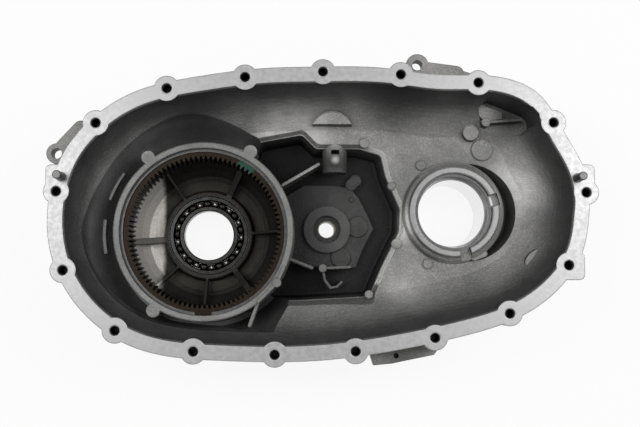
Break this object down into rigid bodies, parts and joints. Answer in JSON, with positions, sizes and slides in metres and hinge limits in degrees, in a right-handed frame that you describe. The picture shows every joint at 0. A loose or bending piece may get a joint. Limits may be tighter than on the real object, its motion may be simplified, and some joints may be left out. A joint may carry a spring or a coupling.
{
  "type": "transfer case front housing",
  "caption": "Cast front half of a four-wheel-drive transfer case with parting flange, ring gear tower, input ball bearing, selector shaft bore and front output bore.",
  "frame": {"origin": "centre of the transmission bolt pattern on the mount ring's face, on the input shaft's axis", "axes": "+Z along the input shaft, out of the open side; +X towards the front output bore's side, along the case's length; +Y across it"},
  "size_m": [0.5225, 0.299, 0.15],
  "materials": {
    "cast_aluminium": "matte",
    "gear_steel": "satin",
    "bearing_steel": "gloss",
    "cage_steel": "satin",
    "spring_steel": "satin",
    "bushing_bronze": "satin"
  },
  "bodies": {
    "housing": {"case_half": "cast_aluminium", "ring_gear": "gear_steel", "ring_gear_snap_ring": "spring_steel", "input_bearing_outer_race": "bearing_steel", "input_bearing_snap_ring": "spring_steel", "output_bearing_snap_ring": "spring_steel", "sector_shaft_bushing": "bushing_bronze", "dowel_pin_left": "bearing_steel", "dowel_pin_right": "bearing_steel"},
    "inner_race": {"input_bearing_inner_race": "bearing_steel"},
    "ball_cage": {"input_bearing_cage_front": "cage_steel", "input_bearing_cage_rear": "cage_steel", "input_bearing_cage_rivets": "cage_steel", "input_bearing_ball_01": "bearing_steel", "input_bearing_ball_02": "bearing_steel", "input_bearing_ball_03": "bearing_steel", "input_bearing_ball_04": "bearing_steel", "input_bearing_ball_05": "bearing_steel", "input_bearing_ball_06": "bearing_steel", "input_bearing_ball_07": "bearing_steel", "input_bearing_ball_08": "bearing_steel", "input_bearing_ball_09": "bearing_steel", "input_bearing_ball_10": "bearing_steel", "input_bearing_ball_11": "bearing_steel", "input_bearing_ball_12": "bearing_steel", "input_bearing_ball_13": "bearing_steel"}
  },
  "joints": [
    {"name": "input_race_spin", "type": "hinge", "parent": "housing", "child": "inner_race", "pos_m": [0, 0, 0.032], "axis": [0, 0, 1], "continuous": true},
    {"name": "ball_cage_spin", "type": "hinge", "parent": "housing", "child": "ball_cage", "pos_m": [0, 0, 0.032], "axis": [0, 0, 1], "continuous": true}
  ],
  "couplings": [
    {"joint": "ball_cage_spin", "follows": "input_race_spin", "ratio": 0.43285}
  ]
}
